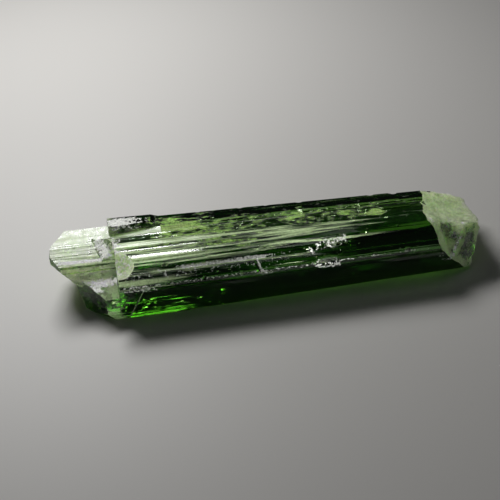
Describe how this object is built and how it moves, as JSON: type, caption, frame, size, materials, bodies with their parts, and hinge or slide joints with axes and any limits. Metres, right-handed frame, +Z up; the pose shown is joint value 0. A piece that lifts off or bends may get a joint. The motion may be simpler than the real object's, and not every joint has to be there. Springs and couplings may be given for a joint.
{
  "type": "diopside crystal",
  "caption": "Long green see-through diopside prism with striated sides, a stepped broken end and a rough sloping break, for display or study as a mineral specimen.",
  "frame": {"origin": "middle of the crystal's bounding box, on the surface it rests on", "axes": "+X along the growth line towards the sloping broken end, -Y to the side that the stepped end's low ledge is on, +Z up from the resting face"},
  "size_m": [0.0256, 0.0058, 0.0034],
  "materials": {
    "diopside": "clear deep green crystal, glassy grown faces and frosted breaks"
  },
  "bodies": {
    "root": {"diopside_crystal": "diopside"}
  },
  "joints": []
}
